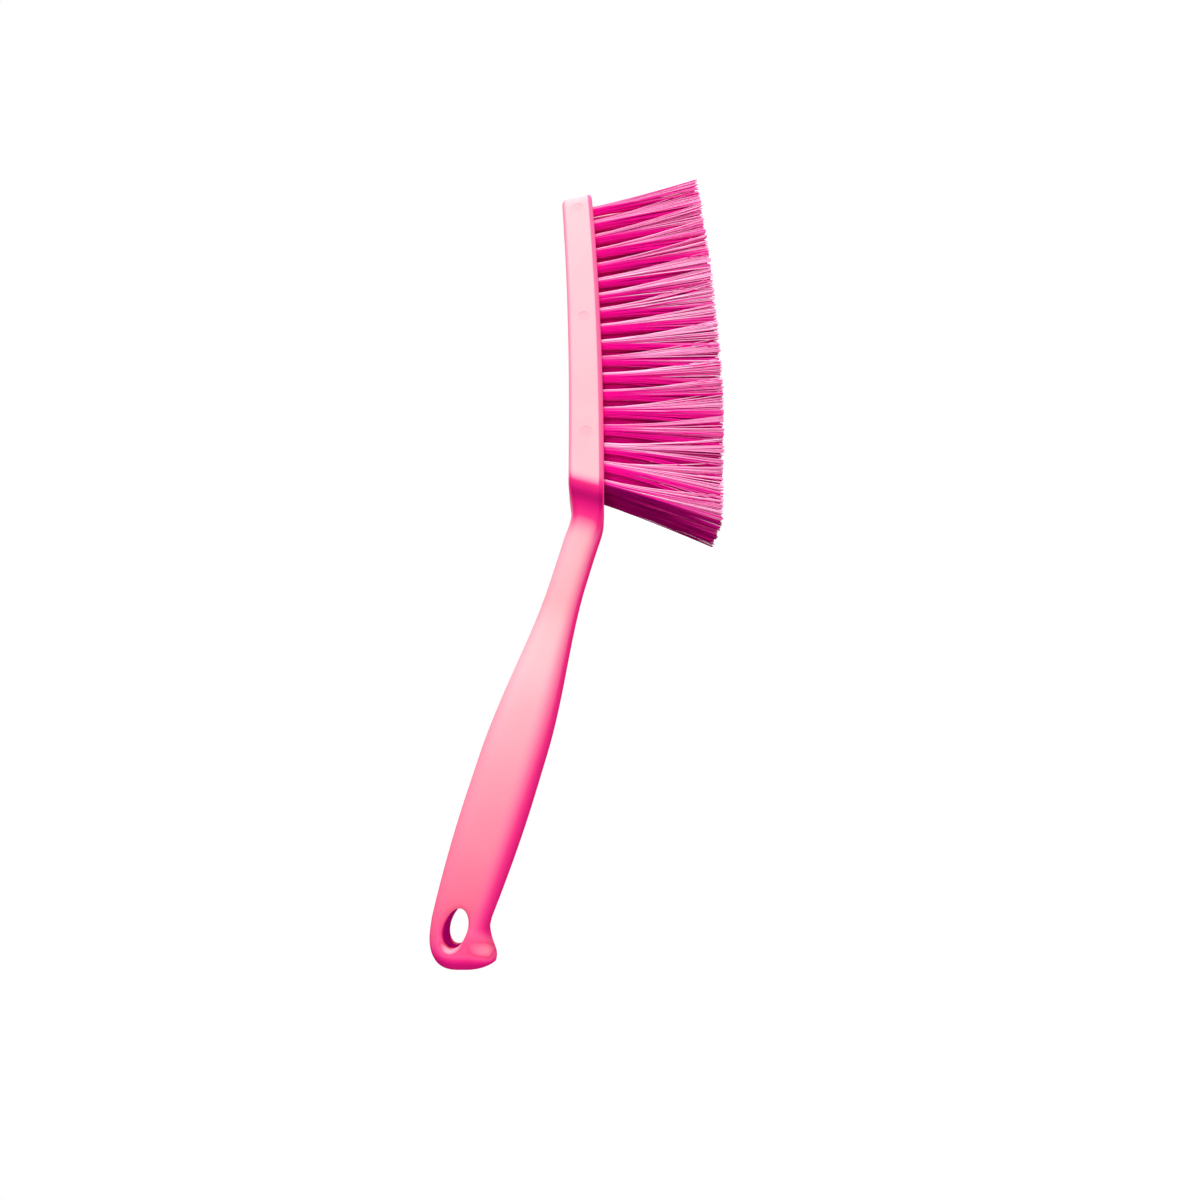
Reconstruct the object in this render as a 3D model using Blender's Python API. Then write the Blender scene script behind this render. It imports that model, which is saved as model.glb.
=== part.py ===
# Bakery brush: one moulded piece of block, neck, grip and hook, with 54 tufts of filament in three
# rows side by side. It stands on its filament tips, with the head towards +X and the grip rising
# towards -X. The handle end has a hole to hang it by.
#
# The pieces are modelled in the brush's own frame and are parented to one empty that sets the
# brush down. In that frame X runs from the shoulder, where the block meets the neck, to the
# block's free end, Z points out of the block's back, and Z = 0 is the bristle face there.

import math
import random

import bmesh
import bpy
from mathutils import Matrix, Vector

MM = 0.001

# Block
BLOCK_LENGTH = 159.5 * MM
BLOCK_WIDTH = 24.0 * MM
BLOCK_THICKNESS = 14.2 * MM
BLOCK_BOW_RADIUS = 2100.0 * MM
BLOCK_EDGE_RADIUS = 1.8 * MM
END_SLANT = 4.3 * MM            # the block is this much longer on its bristle side, at each end
TIP_ROUNDING_LENGTH = 4.8 * MM  # rounding of the free end towards the bristles
TIP_ROUNDING_HEIGHT = 3.2 * MM
SHOULDER_EDGE_RADIUS = 5.0 * MM  # the sides turn in towards the neck over this round edge
SHOULDER_SLOPE = math.radians(27.0)

# Neck and grip, whose axis is straight and leans away from the bristles
HANDLE_LENGTH = 172.7 * MM
HANDLE_ANGLE = math.radians(15.8)
BEND_START = 9.0 * MM
BEND_LENGTH = 11.0 * MM
SHOULDER_LENGTH = 30.0 * MM
DIP_LENGTH = 22.0 * MM          # shallow hollow in the back where the block ends
DIP_DEPTH = 1.2 * MM
NECK_DEPTH = 14.3 * MM
NECK_WIDTH = 13.2 * MM
NECK_CORNER_START = 2.0 * MM
NECK_CORNER_RADIUS = 6.0 * MM
GRIP_START = 40.0 * MM
GRIP_FULL = 105.0 * MM
GRIP_DEPTH = 23.8 * MM
GRIP_WIDTH = 18.0 * MM
GRIP_CORNER_RADIUS = 7.6 * MM
GRIP_TAPER_START = 118.0 * MM

# Hook end and the hole through it
WAIST_FROM_END = 12.3 * MM
WAIST_DEPTH = 19.2 * MM
HOOK_WIDTH = 15.6 * MM
NOSE_START = 2.0 * MM           # before the waist
NOSE_REACH = 7.9 * MM
NOSE_CURVE = 1.5                # power of the curve that sweeps out to the nose
NOSE_ROUNDING_LENGTH = 6.0 * MM
NOSE_ROUNDING_HEIGHT = 8.0 * MM
HEEL_LENGTH = 16.0 * MM
HEEL_HEIGHT = 12.0 * MM
END_FACE_ROUNDING = 5.0 * MM
HANG_HOLE_WIDTH = 7.7 * MM
HANG_HOLE_LENGTH = 12.3 * MM    # along the handle
HANG_HOLE_FROM_END = 12.3 * MM
HANG_HOLE_LIP = 1.8 * MM

# Drilled holes and the tufts in them
TUFTS_IN_ROW = 18
ROW_FROM_EDGE = 6.0 * MM
FIRST_HOLE = 1.0 * MM           # from the shoulder
LAST_HOLE_FROM_END = 12.0 * MM
HOLE_DIAMETER = 4.6 * MM
HOLE_DEPTH = 9.0 * MM
HOLE_SIDES = 10
DRILL_OVERSHOOT = 2.0 * MM
TUFT_CLEARANCE = 0.3 * MM

# Filament. A tuft has a few thick strands, each of them standing for several filaments.
STRANDS_IN_RING = 7
STRAND_ROOT_RADIUS = 0.55 * MM
STRAND_TIP_RADIUS = 1.1 * MM    # wider than the root, because its filaments fan out
STRAND_SIDES = 3
STRAND_START = 1.0 * MM         # how far a strand starts inside its root plug
STRAND_GAP = 0.15 * MM
TRIM_DEPTH = 50.0 * MM          # longest reach of the tips below the bristle face
TRIM_PEAK = 51.0 * MM           # where along the block the tips reach furthest
TRIM_RADIUS_HEAD = 1110.0 * MM
TRIM_RADIUS_NECK = 590.0 * MM
TRIM_SCATTER = 0.25 * MM
TIP_SPREAD = 0.34               # share of the tip pitch that a tuft fans out to each side
ROW_LEAN = math.radians(3.0)
# Lean of the tufts towards the free end, in degrees, by share of the drilled length
FAN = ((0.0, -18.8), (0.06, -12.8), (0.12, -7.5), (0.18, -4.0), (0.31, -1.0), (0.42, 0.5),
       (0.55, 5.0), (0.71, 8.5), (0.87, 10.8), (1.0, 12.8))

# Rest: the head is tipped up until the brush balances on its tips, which are cut flat there
REST_TILT = math.radians(3.8)
REST_CUT = 0.5 * MM

# Fineness of the mesh
SHARP_EDGE_ANGLE = math.radians(35.0)
ROUNDEST_BY_DEPTH = 0.46        # largest corner radius, as a share of the section's depth
ROUNDEST_BY_WIDTH = 0.92        # and as a share of half of its width
CORNER_POINTS = 5
BLOCK_STATIONS = 7
END_STATIONS = 7
SHOULDER_EDGE_STATIONS = 2
SHOULDER_STATIONS = 7
GRIP_STATIONS = 20
HOOK_STATIONS = 10
HANG_HOLE_SIDES = 20
LIP_STEPS = 3
TRIM_SEARCH_STEPS = 4
WELD_DISTANCE = 0.001 * MM

HANDLE_COLOUR = (0.90, 0.23, 0.38)
HANDLE_ROUGHNESS = 0.45
FILAMENT_COLOUR = (0.90, 0.08, 0.36)
FILAMENT_ROUGHNESS = 0.30
SCATTER_SEED = 5

WAIST = HANDLE_LENGTH - WAIST_FROM_END
END_RADIUS = BLOCK_WIDTH / 2
END_CENTRE = BLOCK_LENGTH - END_SLANT / 2 - END_RADIUS
SHOULDER_EDGE = SHOULDER_EDGE_RADIUS * math.sin(SHOULDER_SLOPE)
ROW_PITCH = BLOCK_WIDTH / 2 - ROW_FROM_EDGE
DRILLED_LENGTH = BLOCK_LENGTH - LAST_HOLE_FROM_END - FIRST_HOLE
TUFT_PITCH = DRILLED_LENGTH / (TUFTS_IN_ROW - 1)
PLUG_RADIUS = HOLE_DIAMETER / 2 - TUFT_CLEARANCE


def clamp(value, low=0.0, high=1.0):
    return max(low, min(high, value))


def smooth_step(value, start, end):
    t = clamp((value - start) / (end - start))
    return t * t * (3.0 - 2.0 * t)


def mix(a, b, share):
    return a + (b - a) * share


def quarter_round(past_start, length, height):
    """Height lost to an elliptical corner at a distance past its start."""
    t = clamp(past_start / length)
    return height * (1.0 - math.sqrt(1.0 - t * t))


def line_at(points, position):
    """Smooth curve through hand-chosen points, read at a position."""
    for i in range(len(points) - 1):
        x0, y0 = points[i]
        x1, y1 = points[i + 1]
        if position <= x1 or i == len(points) - 2:
            break
    before = points[max(i - 1, 0)]
    after = points[min(i + 2, len(points) - 1)]
    slope0 = (y1 - before[1]) / (x1 - before[0])
    slope1 = (after[1] - y0) / (after[0] - x0)
    width = x1 - x0
    t = clamp((position - x0) / width)
    return ((2 * t ** 3 - 3 * t ** 2 + 1) * y0 + (t ** 3 - 2 * t ** 2 + t) * width * slope0
            + (3 * t ** 2 - 2 * t ** 3) * y1 + (t ** 3 - t ** 2) * width * slope1)


def face_height(x):
    """Height of the bristle face: bowed away from the bristles over the block."""
    return max(x, 0.0) ** 2 / (2.0 * BLOCK_BOW_RADIUS)


def axis_height(along):
    """Height of the handle's axis at a distance from the shoulder, level and then sloping."""
    into_bend = clamp(along - BEND_START, 0.0, BEND_LENGTH)
    past_bend = max(along - BEND_START - BEND_LENGTH, 0.0)
    rise = into_bend ** 2 / (2.0 * BEND_LENGTH) + past_bend
    return BLOCK_THICKNESS / 2 + rise * math.tan(HANDLE_ANGLE)


def handle_depth(along):
    depth = mix(BLOCK_THICKNESS, NECK_DEPTH, smooth_step(along, 0.0, SHOULDER_LENGTH))
    depth = mix(depth, GRIP_DEPTH, smooth_step(along, GRIP_START, GRIP_FULL))
    taper = clamp((along - GRIP_TAPER_START) / (WAIST - GRIP_TAPER_START))
    return mix(depth, WAIST_DEPTH, taper ** 2)


def back_height(x):
    """Upper outline of the brush seen from its side."""
    if x > 0.0:
        return face_height(x) + BLOCK_THICKNESS
    along = -x
    heel = quarter_round(along - HANDLE_LENGTH + HEEL_LENGTH, HEEL_LENGTH, HEEL_HEIGHT)
    dip = DIP_DEPTH * math.sin(math.pi * clamp(along / DIP_LENGTH)) ** 2
    return axis_height(along) + handle_depth(along) / 2 - heel - dip


def front_height(x):
    """Lower outline of the brush seen from its side, without the tufts."""
    if x > 0.0:
        past_start = x - END_CENTRE - END_RADIUS + TIP_ROUNDING_HEIGHT
        return face_height(x) + quarter_round(past_start, TIP_ROUNDING_LENGTH, TIP_ROUNDING_HEIGHT)
    along = -x
    flare = clamp((along - WAIST + NOSE_START) / WAIST_FROM_END)
    nose = NOSE_REACH * flare ** NOSE_CURVE
    past_start = along - HANDLE_LENGTH + NOSE_ROUNDING_LENGTH
    rounded = quarter_round(past_start, NOSE_ROUNDING_LENGTH, NOSE_ROUNDING_HEIGHT)
    return axis_height(along) - handle_depth(along) / 2 - nose + rounded


def shoulder_inset(along):
    """How far the sides have drawn in past the shoulder, over a round edge and a long hollow."""
    inset = (BLOCK_WIDTH - NECK_WIDTH) / 2
    hollow_radius = inset / (1.0 - math.cos(SHOULDER_SLOPE)) - SHOULDER_EDGE_RADIUS
    if along < SHOULDER_EDGE:
        return SHOULDER_EDGE_RADIUS - math.sqrt(SHOULDER_EDGE_RADIUS ** 2 - along ** 2)
    before_end = max(SHOULDER_EDGE + hollow_radius * math.sin(SHOULDER_SLOPE) - along, 0.0)
    return inset - hollow_radius + math.sqrt(hollow_radius ** 2 - before_end ** 2)


def half_width(x):
    along = max(-x, 0.0)
    width = BLOCK_WIDTH - 2.0 * shoulder_inset(along)
    width = mix(width, GRIP_WIDTH, smooth_step(along, GRIP_START, GRIP_FULL))
    width = mix(width, HOOK_WIDTH, smooth_step(along, GRIP_TAPER_START, HANDLE_LENGTH))
    into_end = along - HANDLE_LENGTH + END_FACE_ROUNDING
    return width / 2 - quarter_round(into_end, END_FACE_ROUNDING, END_FACE_ROUNDING)


def corner_radius(x):
    along = max(-x, 0.0)
    rounder = smooth_step(along, NECK_CORNER_START, SHOULDER_LENGTH)
    radius = mix(BLOCK_EDGE_RADIUS, NECK_CORNER_RADIUS, rounder)
    return mix(radius, GRIP_CORNER_RADIUS, smooth_step(along, GRIP_START, GRIP_FULL))


def slant_share(x):
    """How far a section leans for the slanted ends: 1 at the free end, -1 at the shoulder."""
    if x > 0.0:
        return min(2.0 * x / END_CENTRE, 2.0) - 1.0
    return smooth_step(-x, SHOULDER_LENGTH, GRIP_START) - 1.0


def section(x, turn):
    """Ring of points: a rounded rectangle across the brush at x, folded back by turn at the round end."""
    depth = back_height(x) - front_height(x)
    radius = min(corner_radius(x), ROUNDEST_BY_DEPTH * depth, ROUNDEST_BY_WIDTH * half_width(x))
    ring = []
    for corner, (side, level) in enumerate(((1, 1), (-1, 1), (-1, -1), (1, -1))):
        for i in range(CORNER_POINTS):
            angle = math.radians(90.0) * (corner + i / (CORNER_POINTS - 1))
            share = 0.5 + (level * (depth / 2 - radius) + radius * math.sin(angle)) / depth
            y = side * (half_width(x) - radius) + radius * math.cos(angle)
            slanted = x + END_SLANT * (0.5 - share) * slant_share(x) + abs(y) * math.sin(turn)
            z = mix(front_height(slanted), back_height(slanted), share)
            ring.append(Vector((slanted, y * math.cos(turn), z)))
    return ring


def spread(start, end, count):
    return [start + (end - start) * i / count for i in range(count)]


def body_stations():
    """Place along X and turn of each section, closer together where the outline bends."""
    stations = [(END_CENTRE, turn) for turn in spread(math.radians(90.0), 0.0, END_STATIONS)]
    places = spread(END_CENTRE, 0.0, BLOCK_STATIONS)
    places += spread(0.0, -SHOULDER_EDGE, SHOULDER_EDGE_STATIONS)
    places += spread(-SHOULDER_EDGE, -SHOULDER_LENGTH, SHOULDER_STATIONS)
    places += spread(-SHOULDER_LENGTH, -WAIST, GRIP_STATIONS)
    places += [-WAIST - WAIST_FROM_END * math.sin(math.radians(90.0) * i / HOOK_STATIONS)
               for i in range(HOOK_STATIONS + 1)]
    return stations + [(x, 0.0) for x in places]


def loft(name, rings, folded=False):
    """Closed body through rings of equally many points. A folded first ring is welded, not capped."""
    mesh = bpy.data.meshes.new(name)
    bm = bmesh.new()
    rows = [[bm.verts.new(point) for point in ring] for ring in rings]
    count = len(rows[0])
    for row, following in zip(rows, rows[1:]):
        for i in range(count):
            j = (i + 1) % count
            bm.faces.new((row[i], row[j], following[j], following[i]))
    if folded:
        bmesh.ops.remove_doubles(bm, verts=rows[0], dist=WELD_DISTANCE)
    else:
        bm.faces.new(rows[0])
    bm.faces.new(rows[-1])
    bmesh.ops.recalc_face_normals(bm, faces=bm.faces)
    bm.to_mesh(mesh)
    bm.free()
    return bpy.data.objects.new(name, mesh)


def hang_hole_cutter():
    """Oval pin with flared ends, which leaves the hole with rounded lips."""
    along = HANDLE_LENGTH - HANG_HOLE_FROM_END
    centre = Vector((-along, 0.0, axis_height(along)))
    turn = Matrix.Rotation(HANDLE_ANGLE, 3, "Y")
    surface = half_width(-along)
    steps = [(surface + HANG_HOLE_LIP, HANG_HOLE_LIP)]
    for i in range(LIP_STEPS + 1):
        turned = math.radians(90.0) * i / LIP_STEPS
        level = surface - HANG_HOLE_LIP * (1.0 - math.cos(turned))
        steps.append((level, HANG_HOLE_LIP * (1.0 - math.sin(turned))))
    rings = []
    for level, flare in steps + [(-level, flare) for level, flare in reversed(steps)]:
        ring = []
        for i in range(HANG_HOLE_SIDES):
            angle = math.radians(360.0) * i / HANG_HOLE_SIDES
            across = (HANG_HOLE_WIDTH / 2 + flare) * math.sin(angle)
            length = (HANG_HOLE_LENGTH / 2 + flare) * math.cos(angle)
            ring.append(centre + turn @ Vector((length, level, across)))
        rings.append(ring)
    return loft("hang_hole_cutter", rings)


def tuft_frame(x, row):
    """Place of a hole's mouth, with Z along the hole and out of the block's back."""
    share = (x - FIRST_HOLE) / DRILLED_LENGTH
    fan = math.radians(line_at(FAN, share))
    lean = -row * ROW_LEAN
    turn = Matrix.Rotation(-fan, 4, "Y") @ Matrix.Rotation(-lean, 4, "X")
    return Matrix.Translation((x, row * ROW_PITCH, face_height(x))) @ turn


def cylinder(name, radius, low, high, sides, frame):
    mesh = bpy.data.meshes.new(name)
    bm = bmesh.new()
    bmesh.ops.create_cone(bm, cap_ends=True, segments=sides, radius1=radius, radius2=radius,
                          depth=high - low, matrix=Matrix.Translation((0.0, 0.0, (low + high) / 2)))
    bm.to_mesh(mesh)
    bm.free()
    thing = bpy.data.objects.new(name, mesh)
    thing.matrix_basis = frame
    return thing


def trim_height(x):
    """Height of the curved surface that the tips are trimmed to."""
    past_peak = x - TRIM_PEAK
    radius = TRIM_RADIUS_HEAD if past_peak > 0.0 else TRIM_RADIUS_NECK
    return -TRIM_DEPTH + past_peak ** 2 / (2.0 * radius)


def floor_height(x):
    """Height of the surface that the brush stands on, in the brush's own tipped frame."""
    touch = TRIM_PEAK - TRIM_RADIUS_NECK * math.tan(REST_TILT)
    level = touch * math.sin(REST_TILT) + trim_height(touch) * math.cos(REST_TILT)
    level += REST_CUT
    return (level - x * math.sin(REST_TILT)) / math.cos(REST_TILT)


def tip_centre(frame):
    """Where a tuft's axis meets the trim surface."""
    root = frame.translation
    direction = frame.to_3x3() @ Vector((0.0, 0.0, -1.0))
    reach = TRIM_DEPTH
    for _ in range(TRIM_SEARCH_STEPS):
        tip = root + direction * reach
        reach += (tip.z - trim_height(tip.x)) / -direction.z
    return root + direction * reach


def strand(bm, frame, root_offset, tip):
    """One straight strand from its root in the plug to its tip, whose end is parallel to the floor."""
    start = frame @ Vector((root_offset.x, root_offset.y, STRAND_START))
    tip.z = max(tip.z, floor_height(tip.x))
    up = Vector((math.sin(REST_TILT), 0.0, math.cos(REST_TILT)))
    rings = ([], [])
    for i in range(STRAND_SIDES):
        angle = math.radians(360.0) * i / STRAND_SIDES
        outwards = Vector((math.cos(angle), math.sin(angle), 0.0))
        corner = start + STRAND_ROOT_RADIUS * outwards
        edge = tip + STRAND_TIP_RADIUS * outwards - corner
        end = corner + edge * ((tip - corner).dot(up) / edge.dot(up))
        rings[0].append(bm.verts.new(frame.inverted() @ corner))
        rings[1].append(bm.verts.new(frame.inverted() @ end))
    for i in range(STRAND_SIDES):
        j = (i + 1) % STRAND_SIDES
        bm.faces.new((rings[0][i], rings[1][i], rings[1][j], rings[0][j]))
    bm.faces.new(rings[0])
    bm.faces.new(reversed(rings[1]))


def tuft_strands(name, frame, tip_pitch_x, tip_pitch_y, scatter):
    """A ring of strands round one in the middle, fanned out from the plug to the tips."""
    mesh = bpy.data.meshes.new(name)
    bm = bmesh.new()
    middle = tip_centre(frame)
    root_radius = PLUG_RADIUS - STRAND_ROOT_RADIUS - STRAND_GAP
    phase = scatter.uniform(0.0, math.radians(360.0) / STRANDS_IN_RING)
    places = [(0.0, 0.0)]
    for i in range(STRANDS_IN_RING):
        angle = phase + math.radians(360.0) * i / STRANDS_IN_RING
        places.append((math.cos(angle), math.sin(angle)))
    for along, across in places:
        root = Vector((along * root_radius, across * root_radius))
        x = middle.x + along * TIP_SPREAD * tip_pitch_x
        y = middle.y + across * TIP_SPREAD * tip_pitch_y
        z = trim_height(x) + scatter.uniform(0.0, TRIM_SCATTER)
        strand(bm, frame, root, Vector((x, y, z)))
    bmesh.ops.recalc_face_normals(bm, faces=bm.faces)
    bm.to_mesh(mesh)
    bm.free()
    thing = bpy.data.objects.new(name, mesh)
    thing.matrix_basis = frame
    return thing


def tuft_places():
    """Name, place along X and row of each tuft: outer rows a and c, and b between them."""
    places = []
    for letter, row in (("a", -1), ("b", 0), ("c", 1)):
        for i in range(TUFTS_IN_ROW):
            places.append((f"tuft_{letter}{i + 1:02d}", FIRST_HOLE + TUFT_PITCH * i, row))
    return places


def plastic(name, colour, roughness):
    material = bpy.data.materials.new(name)
    material.use_nodes = True
    shader = material.node_tree.nodes["Principled BSDF"]
    shader.inputs["Base Color"].default_value = (*colour, 1.0)
    shader.inputs["Roughness"].default_value = roughness
    shader.inputs["Metallic"].default_value = 0.0
    return material


def hide_helper(helper):
    helper.hide_render = True
    helper.display_type = "WIRE"


def boolean(target, operation, helper):
    modifier = target.modifiers.new(helper.name, "BOOLEAN")
    modifier.operation = operation
    modifier.solver = "EXACT"
    modifier.object = helper


def join(name, pieces):
    """One mesh object of several pieces that don't meet, in the brush's frame."""
    mesh = bpy.data.meshes.new(name)
    bm = bmesh.new()
    for piece in pieces:
        piece.data.transform(piece.matrix_basis)
        bm.from_mesh(piece.data)
        bpy.data.objects.remove(piece)
    bm.to_mesh(mesh)
    bm.free()
    return bpy.data.objects.new(name, mesh)


def set_down(pieces):
    """Empty that tips the brush to its rest, with the lowest point of the pieces at Z = 0."""
    tip = Matrix.Rotation(-REST_TILT, 4, "Y")
    points = [tip @ piece.matrix_basis @ vertex.co for piece in pieces for vertex in piece.data.vertices]
    middle_x = (min(point.x for point in points) + max(point.x for point in points)) / 2
    rest = bpy.data.objects.new("brush_rest", None)
    rest.rotation_euler = (0.0, -REST_TILT, 0.0)
    rest.location = (-middle_x, 0.0, -min(point.z for point in points))
    return rest


def build():
    for thing in list(bpy.data.objects):
        bpy.data.objects.remove(thing)
    parts = bpy.data.collections.new("bakery_brush")
    helpers = bpy.data.collections.new("cutters_and_helpers")
    for collection in (parts, helpers):
        bpy.context.scene.collection.children.link(collection)

    polypropylene = plastic("moulded_polypropylene", HANDLE_COLOUR, HANDLE_ROUGHNESS)
    filament = plastic("polyester_filament", FILAMENT_COLOUR, FILAMENT_ROUGHNESS)

    body = loft("handle_block", [section(x, turn) for x, turn in body_stations()], folded=True)
    body.data.materials.append(polypropylene)
    body.data.shade_smooth()
    body.data.set_sharp_from_angle(angle=SHARP_EDGE_ANGLE)
    parts.objects.link(body)

    scatter = random.Random(SCATTER_SEED)
    drills = []
    for name, x, row in tuft_places():
        frame = tuft_frame(x, row)
        drills.append(cylinder(name + "_drill", HOLE_DIAMETER / 2, -DRILL_OVERSHOOT, HOLE_DEPTH,
                               HOLE_SIDES, frame))
        plug = cylinder(name, PLUG_RADIUS, 0.0, HOLE_DEPTH - TUFT_CLEARANCE, HOLE_SIDES, frame)
        plug.data.materials.append(filament)
        tip_pitch_x = tip_centre(tuft_frame(x + TUFT_PITCH / 2, row)).x
        tip_pitch_x -= tip_centre(tuft_frame(x - TUFT_PITCH / 2, row)).x
        tip_pitch_y = tip_centre(tuft_frame(x, 1)).y
        strands = tuft_strands(name + "_strands", frame, tip_pitch_x, tip_pitch_y, scatter)
        boolean(plug, "UNION", strands)
        parts.objects.link(plug)
        helpers.objects.link(strands)
    rest = set_down([body] + list(helpers.objects))

    for cutter in (join("tuft_drills", drills), hang_hole_cutter()):
        helpers.objects.link(cutter)
        boolean(body, "DIFFERENCE", cutter)
    for helper in helpers.objects:
        hide_helper(helper)
    for thing in list(parts.objects) + list(helpers.objects):
        thing.parent = rest
    parts.objects.link(rest)


build()
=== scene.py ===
# Hand brush for flour and crumbs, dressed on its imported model: one polypropylene moulding with a
# hanging hole, and 54 tufts of polyester filament in three rows. Shapes are worked out in the
# brush's own millimetres, with X along the block, Y across it and Z out of its back.
import math
import random

import bmesh
import bpy
from mathutils import Matrix, Vector
from mathutils.bvhtree import BVHTree


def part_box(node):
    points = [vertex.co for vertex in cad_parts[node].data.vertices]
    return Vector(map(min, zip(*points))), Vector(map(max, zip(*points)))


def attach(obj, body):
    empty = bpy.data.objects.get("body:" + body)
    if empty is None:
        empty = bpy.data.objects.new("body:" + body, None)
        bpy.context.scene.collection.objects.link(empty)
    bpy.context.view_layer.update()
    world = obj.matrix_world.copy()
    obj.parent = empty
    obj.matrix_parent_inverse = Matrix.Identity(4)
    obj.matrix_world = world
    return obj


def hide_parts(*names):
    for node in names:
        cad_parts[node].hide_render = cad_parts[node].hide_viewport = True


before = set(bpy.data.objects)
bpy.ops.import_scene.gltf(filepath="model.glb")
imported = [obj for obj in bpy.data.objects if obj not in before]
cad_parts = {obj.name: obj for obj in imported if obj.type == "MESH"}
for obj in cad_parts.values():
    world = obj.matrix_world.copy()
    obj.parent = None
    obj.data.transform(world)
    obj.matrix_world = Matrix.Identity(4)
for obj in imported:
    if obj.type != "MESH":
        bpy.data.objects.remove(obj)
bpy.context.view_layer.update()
mm = 0.001
restTilt = math.radians(3.8)  # the brush balances on its tips with the head raised this much
quarterTurn = math.radians(90.0)

block = {
    "length": 159.5, "width": 24.0, "thickness": 14.2, "bowRadius": 2100.0, "edgeRadius": 1.8,
    "endSlant": 4.3,  # longer by this on the bristle side, at both ends
    "tipRoundingLength": 4.8, "tipRoundingHeight": 3.2,
    "shoulderEdgeRadius": 5.0, "shoulderSlope": math.radians(27.0),
}
handle = {
    "length": 172.7, "angle": math.radians(15.8), "bendStart": 9.0, "bendLength": 11.0,
    "shoulderLength": 30.0, "dipLength": 22.0, "dipDepth": 1.2,
    "neckDepth": 14.3, "neckWidth": 13.2, "neckCornerStart": 2.0, "neckCornerRadius": 6.0,
    "gripStart": 40.0, "gripFull": 105.0, "gripDepth": 23.8, "gripWidth": 18.0,
    "gripCornerRadius": 7.6, "gripTaperStart": 118.0,
}
hook = {
    "waistFromEnd": 12.3, "waistDepth": 19.2, "width": 15.6, "noseStart": 2.0, "noseReach": 7.9,
    "noseCurve": 1.5, "noseRoundingLength": 6.0, "noseRoundingHeight": 8.0,
    "heelLength": 16.0, "heelHeight": 12.0, "endRounding": 5.0,
}
drilling = {
    "tuftsInRow": 18, "rowFromEdge": 6.0, "firstHole": 1.0, "lastFromEnd": 12.0,
    "diameter": 4.6, "depth": 9.0, "points": 24, "overshoot": 2.0,
}
# how finely the moulding's skin is laid out, from the free end to the hook, and its parting line
skinMesh = {
    "cornerSteps": 7, "sideShares": (0.05, 0.3, 0.5, 0.7, 0.95),
    "cornerOfDepth": 0.46, "cornerOfWidth": 0.94,  # most that a round corner takes of a section
    "endSteps": 12, "blockSteps": 14, "lastOfBlock": 8.0, "lastSteps": 7,  # closer in its last mm
    "shoulderEdgeSteps": 5, "shoulderSteps": 16, "gripSteps": 46, "hookSteps": 22,
    "seamWidth": 0.5, "seamHeight": 0.08, "weld": 0.002, "sharpAngle": math.radians(32.0),
    "atVertex": 1e-6,  # square mm, so that a point right on a vertex doesn't divide by zero
}

waist = handle["length"] - hook["waistFromEnd"]
endRadius = block["width"] / 2
endCentre = block["length"] - block["endSlant"] / 2 - endRadius
rowPitch = block["width"] / 2 - drilling["rowFromEdge"]
firstHole = drilling["firstHole"]
drilledLength = block["length"] - drilling["lastFromEnd"] - firstHole
tuftPitch = drilledLength / (drilling["tuftsInRow"] - 1)


def clamp(value, low=0.0, high=1.0):
    return max(low, min(high, value))


def smoothStep(value, start, end):
    t = clamp((value - start) / (end - start))
    return t * t * (3.0 - 2.0 * t)


def between(a, b, share):
    return a + (b - a) * share


# height lost to an elliptical corner, at a distance past its start
def quarterRound(pastStart, length, height):
    t = clamp(pastStart / length)
    return height * (1.0 - math.sqrt(1.0 - t * t))


def faceHeight(x):
    return max(x, 0.0) ** 2 / (2.0 * block["bowRadius"])


# the handle's axis is level at the shoulder and then climbs away from the bristles
def axisHeight(along):
    intoBend = clamp(along - handle["bendStart"], 0.0, handle["bendLength"])
    pastBend = max(along - handle["bendStart"] - handle["bendLength"], 0.0)
    rise = intoBend ** 2 / (2.0 * handle["bendLength"]) + pastBend
    return block["thickness"] / 2 + rise * math.tan(handle["angle"])


# from 0 on the neck to 1 where the grip is full
def gripShare(along):
    return smoothStep(along, handle["gripStart"], handle["gripFull"])


def handleDepth(along):
    pastShoulder = smoothStep(along, 0.0, handle["shoulderLength"])
    depth = between(block["thickness"], handle["neckDepth"], pastShoulder)
    depth = between(depth, handle["gripDepth"], gripShare(along))
    taper = clamp((along - handle["gripTaperStart"]) / (waist - handle["gripTaperStart"]))
    return between(depth, hook["waistDepth"], taper ** 2)


def backHeight(x):
    if x > 0.0:
        return faceHeight(x) + block["thickness"]
    pastStart = -x - handle["length"] + hook["heelLength"]
    heel = quarterRound(pastStart, hook["heelLength"], hook["heelHeight"])
    dip = handle["dipDepth"] * math.sin(math.pi * clamp(-x / handle["dipLength"])) ** 2
    return axisHeight(-x) + handleDepth(-x) / 2 - heel - dip


def frontHeight(x):
    if x > 0.0:
        pastStart = x - endCentre - endRadius + block["tipRoundingHeight"]
        rounded = quarterRound(pastStart, block["tipRoundingLength"], block["tipRoundingHeight"])
        return faceHeight(x) + rounded
    flare = clamp((-x - waist + hook["noseStart"]) / hook["waistFromEnd"])
    nose = hook["noseReach"] * flare ** hook["noseCurve"]
    pastStart = -x - handle["length"] + hook["noseRoundingLength"]
    rounded = quarterRound(pastStart, hook["noseRoundingLength"], hook["noseRoundingHeight"])
    return axisHeight(-x) - handleDepth(-x) / 2 - nose + rounded


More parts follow.
